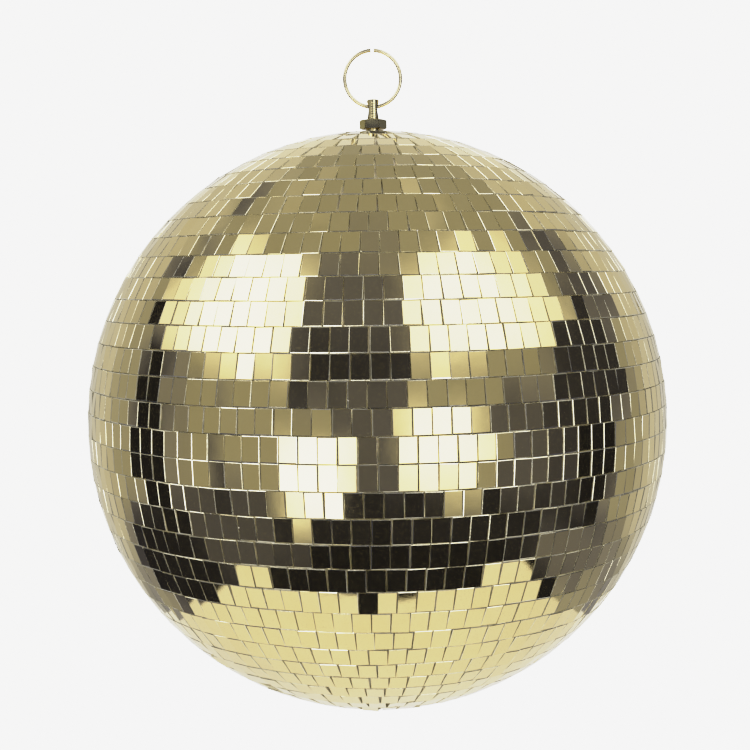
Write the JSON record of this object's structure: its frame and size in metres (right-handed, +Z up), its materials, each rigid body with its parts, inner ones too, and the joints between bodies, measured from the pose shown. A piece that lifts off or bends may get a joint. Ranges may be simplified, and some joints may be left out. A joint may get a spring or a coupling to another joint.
{
  "type": "mirror ball",
  "caption": "Gold mirror ball hung from a split ring in a cross-drilled stud: rows of small flat mirror tiles on a hollow two-part core that turns on the stud.",
  "frame": {"origin": "inside top of the hanging ring, where a hook or cord carries the ball", "axes": "+Z up along the stud and the ball's poles; X across the ring, along the eye that it swings in; Y through the ring"},
  "size_m": [0.3016, 0.3016, 0.3427],
  "materials": {
    "gold_mirror": "gold-tinted mirror glass, lightly scratched",
    "brass": "bright brass plate",
    "core_plastic": "matt moulded plastic under pale glue",
    "zinc_steel": "zinc plated",
    "nylon": "natural nylon"
  },
  "bodies": {
    "ring": {"hang_ring": "brass"},
    "hanger": {"hanger_stud": "brass", "lock_nut": "brass", "inner_nut": "brass", "inner_jam_nut": "brass"},
    "ball": {"upper_shell": "core_plastic", "lower_shell": "core_plastic", "pole_bush": "brass", "top_pole_cap": "brass", "load_plate": "zinc_steel", "thrust_washer": "nylon", "bottom_plug": "brass", "mirror_row_01": "gold_mirror", "mirror_row_02": "gold_mirror", "mirror_row_03": "gold_mirror", "mirror_row_04": "gold_mirror", "mirror_row_05": "gold_mirror", "mirror_row_06": "gold_mirror", "mirror_row_07": "gold_mirror", "mirror_row_08": "gold_mirror", "mirror_row_09": "gold_mirror", "mirror_row_10": "gold_mirror", "mirror_row_11": "gold_mirror", "mirror_row_12": "gold_mirror", "mirror_row_13": "gold_mirror", "mirror_row_14": "gold_mirror", "mirror_row_15": "gold_mirror", "mirror_row_16": "gold_mirror", "mirror_row_17": "gold_mirror", "mirror_row_18": "gold_mirror", "mirror_row_19": "gold_mirror", "mirror_row_20": "gold_mirror", "mirror_row_21": "gold_mirror", "mirror_row_22": "gold_mirror", "mirror_row_23": "gold_mirror", "mirror_row_24": "gold_mirror", "mirror_row_25": "gold_mirror", "mirror_row_26": "gold_mirror", "mirror_row_27": "gold_mirror", "mirror_row_28": "gold_mirror", "mirror_row_29": "gold_mirror", "mirror_row_30": "gold_mirror", "mirror_row_31": "gold_mirror", "mirror_row_32": "gold_mirror", "mirror_row_33": "gold_mirror", "mirror_row_34": "gold_mirror", "mirror_row_35": "gold_mirror", "mirror_row_36": "gold_mirror", "mirror_row_37": "gold_mirror", "mirror_row_38": "gold_mirror"}
  },
  "joints": [
    {"name": "ring_swing", "type": "hinge", "parent": "ring", "child": "hanger", "pos_m": [0, 0, -0.028], "axis": [1, 0, 0], "range_deg": [-115, 115]},
    {"name": "ball_spin", "type": "hinge", "parent": "hanger", "child": "ball", "pos_m": [0, 0, -0.0409], "axis": [0, 0, 1], "continuous": true}
  ]
}
